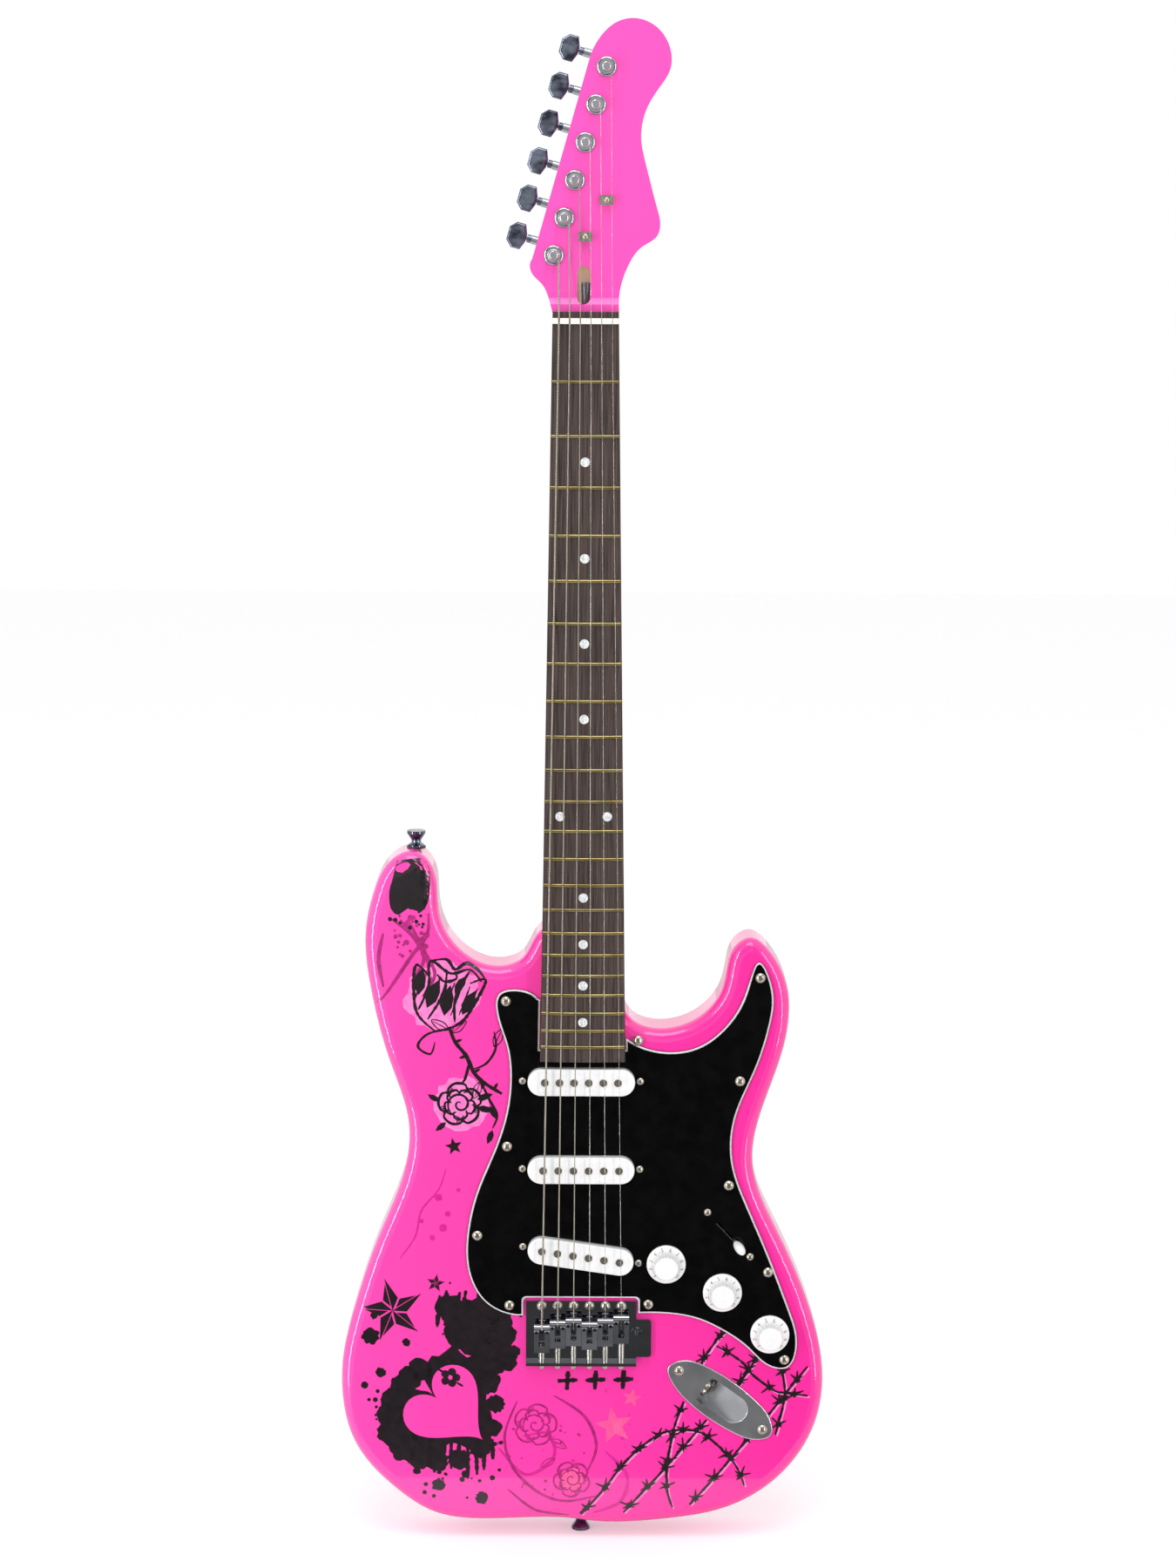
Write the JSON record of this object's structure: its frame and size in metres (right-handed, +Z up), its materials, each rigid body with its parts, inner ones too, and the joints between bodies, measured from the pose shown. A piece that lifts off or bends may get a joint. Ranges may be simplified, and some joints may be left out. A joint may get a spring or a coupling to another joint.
{
  "type": "electric guitar",
  "caption": "Solid-body electric guitar with two cutaways, bolted neck, pivoting tremolo bridge, worm tuners, single-coil pickups and a bare headstock.",
  "frame": {"origin": "centre of the end strap button's outer face, the guitar's lowest point", "axes": "+X to the treble side, +Y to the back, +Z up the neck; Y = 0 is the middle of the body's thickness"},
  "size_m": [0.319, 0.0628, 0.9927],
  "materials": {
    "body": "gloss",
    "neck": "gloss",
    "fretboard": "satin",
    "position_dots": "gloss",
    "frets": "polished",
    "nut": "satin",
    "truss_rod": "plain",
    "pickguard_black": "gloss",
    "pickguard_core": "gloss",
    "pickup_covers": "satin",
    "pickup_poles": "polished",
    "pickup_coils": "matte",
    "pickup_screws": "polished",
    "pickup_tubes": "matte",
    "plate_screws": "polished",
    "pots": "plain",
    "pot_nuts": "polished",
    "switch_frame": "plain",
    "switch_screws": "polished",
    "jack_plate": "polished",
    "jack_socket": "polished",
    "strap_buttons": "polished",
    "strap_felts": "matte",
    "tuner_housings": "polished",
    "tuner_bushings": "polished",
    "string_trees": "polished",
    "head_screws": "polished",
    "pivot_screws": "polished",
    "spring_claw": "plain",
    "tremolo_springs": "plain",
    "back_cover": "gloss",
    "neck_plate": "polished",
    "wood_screws": "polished",
    "strings_wound": "plain",
    "strings_plain": "plain",
    "tuner_button_1": "polished",
    "tuner_post_1": "polished",
    "tuner_button_2": "polished",
    "tuner_post_2": "polished",
    "tuner_button_3": "polished",
    "tuner_post_3": "polished",
    "tuner_button_4": "polished",
    "tuner_post_4": "polished",
    "tuner_button_5": "polished",
    "tuner_post_5": "polished",
    "tuner_button_6": "polished",
    "tuner_post_6": "polished",
    "knob_volume": "gloss",
    "knob_tone_neck": "gloss",
    "knob_tone_middle": "gloss",
    "switch_lever": "plain",
    "switch_tip": "gloss",
    "bridge_plate": "polished",
    "bridge_block": "satin",
    "saddles": "polished",
    "saddle_screws": "plain",
    "intonation_screws": "polished",
    "saddle_springs": "plain",
    "string_tails": "plain"
  },
  "bodies": {
    "guitar": {"body": "body", "neck": "neck", "fretboard": "fretboard", "position_dots": "position_dots", "frets": "frets", "nut": "nut", "truss_rod": "truss_rod", "pickguard_black": "pickguard_black", "pickguard_core": "pickguard_core", "pickup_covers": "pickup_covers", "pickup_poles": "pickup_poles", "pickup_coils": "pickup_coils", "pickup_screws": "pickup_screws", "pickup_tubes": "pickup_tubes", "plate_screws": "plate_screws", "pots": "pots", "pot_nuts": "pot_nuts", "switch_frame": "switch_frame", "switch_screws": "switch_screws", "jack_plate": "jack_plate", "jack_socket": "jack_socket", "strap_buttons": "strap_buttons", "strap_felts": "strap_felts", "tuner_housings": "tuner_housings", "tuner_bushings": "tuner_bushings", "string_trees": "string_trees", "head_screws": "head_screws", "pivot_screws": "pivot_screws", "spring_claw": "spring_claw", "tremolo_springs": "tremolo_springs", "back_cover": "back_cover", "neck_plate": "neck_plate", "wood_screws": "wood_screws", "strings_wound": "strings_wound", "strings_plain": "strings_plain"},
    "tuner_button_1": {"tuner_button_1": "tuner_button_1"},
    "tuner_post_1": {"tuner_post_1": "tuner_post_1"},
    "tuner_button_2": {"tuner_button_2": "tuner_button_2"},
    "tuner_post_2": {"tuner_post_2": "tuner_post_2"},
    "tuner_button_3": {"tuner_button_3": "tuner_button_3"},
    "tuner_post_3": {"tuner_post_3": "tuner_post_3"},
    "tuner_button_4": {"tuner_button_4": "tuner_button_4"},
    "tuner_post_4": {"tuner_post_4": "tuner_post_4"},
    "tuner_button_5": {"tuner_button_5": "tuner_button_5"},
    "tuner_post_5": {"tuner_post_5": "tuner_post_5"},
    "tuner_button_6": {"tuner_button_6": "tuner_button_6"},
    "tuner_post_6": {"tuner_post_6": "tuner_post_6"},
    "knob_volume": {"knob_volume": "knob_volume"},
    "knob_tone_neck": {"knob_tone_neck": "knob_tone_neck"},
    "knob_tone_middle": {"knob_tone_middle": "knob_tone_middle"},
    "selector": {"switch_lever": "switch_lever", "switch_tip": "switch_tip"},
    "bridge": {"bridge_plate": "bridge_plate", "bridge_block": "bridge_block", "saddles": "saddles", "saddle_screws": "saddle_screws", "intonation_screws": "intonation_screws", "saddle_springs": "saddle_springs", "string_tails": "string_tails"}
  },
  "joints": [
    {"name": "button_1_turn", "type": "hinge", "parent": "guitar", "child": "tuner_button_1", "pos_m": [-0.01894, -0.002, 0.8513], "axis": [-0.9627, 0, 0.2706], "continuous": true},
    {"name": "post_1_turn", "type": "hinge", "parent": "guitar", "child": "tuner_post_1", "pos_m": [-0.0204, -0.002, 0.8461], "axis": [0, 1, 0], "continuous": true},
    {"name": "button_2_turn", "type": "hinge", "parent": "guitar", "child": "tuner_button_2", "pos_m": [-0.01237, -0.002, 0.87467], "axis": [-0.9627, 0, 0.2706], "continuous": true},
    {"name": "post_2_turn", "type": "hinge", "parent": "guitar", "child": "tuner_post_2", "pos_m": [-0.01383, -0.002, 0.86947], "axis": [0, 1, 0], "continuous": true},
    {"name": "button_3_turn", "type": "hinge", "parent": "guitar", "child": "tuner_button_3", "pos_m": [-0.0058, -0.002, 0.89805], "axis": [-0.9627, 0, 0.2706], "continuous": true},
    {"name": "post_3_turn", "type": "hinge", "parent": "guitar", "child": "tuner_post_3", "pos_m": [-0.00726, -0.002, 0.89285], "axis": [0, 1, 0], "continuous": true},
    {"name": "button_4_turn", "type": "hinge", "parent": "guitar", "child": "tuner_button_4", "pos_m": [0.00077, -0.002, 0.92142], "axis": [-0.9627, 0, 0.2706], "continuous": true},
    {"name": "post_4_turn", "type": "hinge", "parent": "guitar", "child": "tuner_post_4", "pos_m": [-0.00069, -0.002, 0.91622], "axis": [0, 1, 0], "continuous": true},
    {"name": "button_5_turn", "type": "hinge", "parent": "guitar", "child": "tuner_button_5", "pos_m": [0.00734, -0.002, 0.9448], "axis": [-0.9627, 0, 0.2706], "continuous": true},
    {"name": "post_5_turn", "type": "hinge", "parent": "guitar", "child": "tuner_post_5", "pos_m": [0.00588, -0.002, 0.9396], "axis": [0, 1, 0], "continuous": true},
    {"name": "button_6_turn", "type": "hinge", "parent": "guitar", "child": "tuner_button_6", "pos_m": [0.01391, -0.002, 0.96817], "axis": [-0.9627, 0, 0.2706], "continuous": true},
    {"name": "post_6_turn", "type": "hinge", "parent": "guitar", "child": "tuner_post_6", "pos_m": [0.01245, -0.002, 0.96297], "axis": [0, 1, 0], "continuous": true},
    {"name": "knob_volume_turn", "type": "hinge", "parent": "guitar", "child": "knob_volume", "pos_m": [0.0554, -0.0239, 0.1906], "axis": [0, -1, 0], "range_deg": [-150, 150]},
    {"name": "knob_tone_neck_turn", "type": "hinge", "parent": "guitar", "child": "knob_tone_neck", "pos_m": [0.0925, -0.0239, 0.1715], "axis": [0, -1, 0], "range_deg": [-150, 150]},
    {"name": "knob_tone_middle_turn", "type": "hinge", "parent": "guitar", "child": "knob_tone_middle", "pos_m": [0.124, -0.0239, 0.1432], "axis": [0, -1, 0], "range_deg": [-150, 150]},
    {"name": "selector_swing", "type": "hinge", "parent": "guitar", "child": "selector", "pos_m": [0.0964, -0.0059, 0.2104], "axis": [-0.729, 0, -0.6845], "range_deg": [0, 44]},
    {"name": "bridge_tip", "type": "hinge", "parent": "guitar", "child": "bridge", "pos_m": [0, -0.0215, 0.1618], "axis": [-1, 0, 0], "range_deg": [0, 10], "stiffness_Nm_per_rad": 12, "springref_deg": -5.73, "deforming": ["strings_wound", "strings_plain", "tremolo_springs"]}
  ],
  "couplings": [
    {"joint": "post_1_turn", "follows": "button_1_turn", "ratio": 0.071429},
    {"joint": "post_2_turn", "follows": "button_2_turn", "ratio": 0.071429},
    {"joint": "post_3_turn", "follows": "button_3_turn", "ratio": 0.071429},
    {"joint": "post_4_turn", "follows": "button_4_turn", "ratio": 0.071429},
    {"joint": "post_5_turn", "follows": "button_5_turn", "ratio": 0.071429},
    {"joint": "post_6_turn", "follows": "button_6_turn", "ratio": 0.071429}
  ]
}
